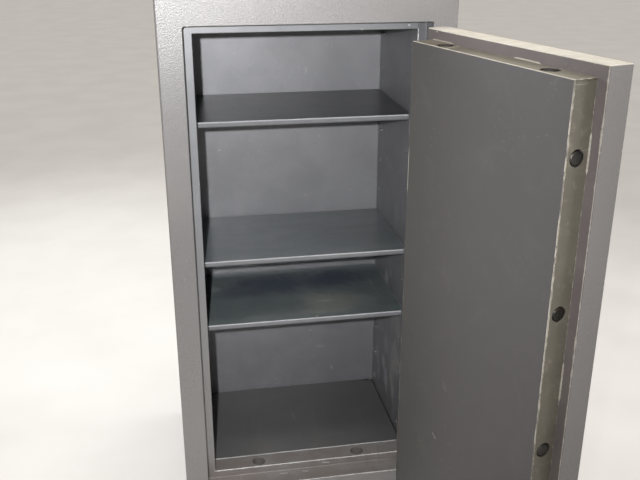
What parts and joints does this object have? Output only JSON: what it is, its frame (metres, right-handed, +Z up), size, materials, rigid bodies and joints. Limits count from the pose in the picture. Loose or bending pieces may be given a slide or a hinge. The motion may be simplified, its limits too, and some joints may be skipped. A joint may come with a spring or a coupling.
{
  "type": "cabinet safe",
  "caption": "Tall free-standing fire and security safe with an inset swing door, boltwork that locks into the frame, slotted liner walls and lift-out shelves.",
  "frame": {"origin": "middle of the body's underside, where the safe stands on the floor", "axes": "+Z up; -Y out of the front, the side that the door opens from; +X to the hinge side, which is on the right when facing the safe"},
  "size_m": [0.7532, 1.0832, 1.3],
  "materials": {
    "hammered_paint": "satin",
    "liner_paint": "satin",
    "floor_paint": "satin",
    "shelf_paint": "satin",
    "inner_door_paint": "satin",
    "cover_paint": "satin",
    "cast_insulation": "matte",
    "bright_steel": "satin",
    "chrome_plate": "polished",
    "lock_brass": "satin"
  },
  "bodies": {
    "safe_body": {"casing_left": "hammered_paint", "casing_right": "hammered_paint", "casing_top": "hammered_paint", "casing_bottom": "hammered_paint", "casing_back": "hammered_paint", "insulation_left": "cast_insulation", "insulation_right": "cast_insulation", "insulation_top": "cast_insulation", "insulation_bottom": "cast_insulation", "insulation_back": "cast_insulation", "liner_left": "liner_paint", "liner_right": "liner_paint", "liner_top": "liner_paint", "liner_back": "liner_paint", "floor_panel": "floor_paint", "frame_lock_side": "hammered_paint", "frame_hinge_side": "hammered_paint", "frame_head": "hammered_paint", "frame_sill": "hammered_paint", "hinge_knuckle_lower": "hammered_paint", "hinge_knuckle_upper": "hammered_paint", "hinge_pin_lower": "bright_steel", "hinge_pin_upper": "bright_steel", "clip_top_left_front": "bright_steel", "clip_top_left_rear": "bright_steel", "clip_top_right_front": "bright_steel", "clip_top_right_rear": "bright_steel", "clip_middle_left_front": "bright_steel", "clip_middle_left_rear": "bright_steel", "clip_middle_right_front": "bright_steel", "clip_middle_right_rear": "bright_steel", "clip_lower_left_front": "bright_steel", "clip_lower_left_rear": "bright_steel", "clip_lower_right_front": "bright_steel", "clip_lower_right_rear": "bright_steel"},
    "top_shelf": {"shelf_top": "shelf_paint"},
    "middle_shelf": {"shelf_middle": "shelf_paint"},
    "lower_shelf": {"shelf_lower": "shelf_paint"},
    "door": {"door_skin": "hammered_paint", "door_filling": "cast_insulation", "door_back_plate": "inner_door_paint", "boltwork_strip_top": "inner_door_paint", "boltwork_strip_bottom": "inner_door_paint", "boltwork_strip_lock_side": "inner_door_paint", "boltwork_strip_hinge_side": "inner_door_paint", "cover_panel": "cover_paint", "dog_bar": "bright_steel", "handle_rose": "chrome_plate", "lock_case": "lock_brass", "keyhole_plate": "chrome_plate", "hinge_arm_lower": "hammered_paint", "hinge_arm_upper": "hammered_paint"},
    "handle": {"handle_lever": "chrome_plate", "drive_cam": "bright_steel"},
    "side_bolts": {"bolt_bar_side": "bright_steel"},
    "top_bolts": {"bolt_bar_top": "bright_steel"},
    "bottom_bolts": {"bolt_bar_bottom": "bright_steel"},
    "key_barrel": {"lock_barrel": "lock_brass"},
    "key_bolt": {"lock_bolt": "lock_brass"},
    "keyhole_flap": {"keyhole_cover": "chrome_plate"}
  },
  "joints": [
    {"name": "door_hinge", "type": "hinge", "parent": "safe_body", "child": "door", "pos_m": [0.2955, -0.2705, 0.65], "axis": [0, 0, 1], "range_deg": [-104.3, 65.7]},
    {"name": "top_shelf_lift", "type": "slide", "parent": "safe_body", "child": "top_shelf", "axis": [0, 0, 1], "range_m": [0, 0.05]},
    {"name": "middle_shelf_lift", "type": "slide", "parent": "safe_body", "child": "middle_shelf", "axis": [0, 0, 1], "range_m": [0, 0.05]},
    {"name": "lower_shelf_lift", "type": "slide", "parent": "safe_body", "child": "lower_shelf", "axis": [0, 0, 1], "range_m": [0, 0.05]},
    {"name": "handle_turn", "type": "hinge", "parent": "door", "child": "handle", "pos_m": [0.38761, -0.70677, 0.69], "axis": [0.969, 0.247, 0], "range_deg": [0, 60]},
    {"name": "side_bolts_throw", "type": "slide", "parent": "door", "child": "side_bolts", "axis": [0.247, -0.969, 0], "range_m": [0, 0.02]},
    {"name": "top_bolts_throw", "type": "slide", "parent": "door", "child": "top_bolts", "axis": [0, 0, 1], "range_m": [0, 0.02]},
    {"name": "bottom_bolts_throw", "type": "slide", "parent": "door", "child": "bottom_bolts", "axis": [0, 0, -1], "range_m": [0, 0.02]},
    {"name": "key_turn", "type": "hinge", "parent": "door", "child": "key_barrel", "pos_m": [0.3566, -0.71467, 0.86], "axis": [0.969, 0.247, 0], "range_deg": [0, 90]},
    {"name": "key_bolt_throw", "type": "slide", "parent": "door", "child": "key_bolt", "axis": [0, 0, -1], "range_m": [0, 0.012]},
    {"name": "keyhole_flap_swing", "type": "hinge", "parent": "door", "child": "keyhole_flap", "pos_m": [0.39052, -0.70603, 0.874], "axis": [0.969, 0.247, 0], "range_deg": [-100, 100]}
  ],
  "couplings": [
    {"joint": "handle_turn", "follows": "side_bolts_throw", "rad_per_m": 52.36},
    {"joint": "top_bolts_throw", "follows": "side_bolts_throw", "ratio": 1},
    {"joint": "bottom_bolts_throw", "follows": "side_bolts_throw", "ratio": 1},
    {"joint": "key_turn", "follows": "key_bolt_throw", "rad_per_m": 130.9}
  ]
}
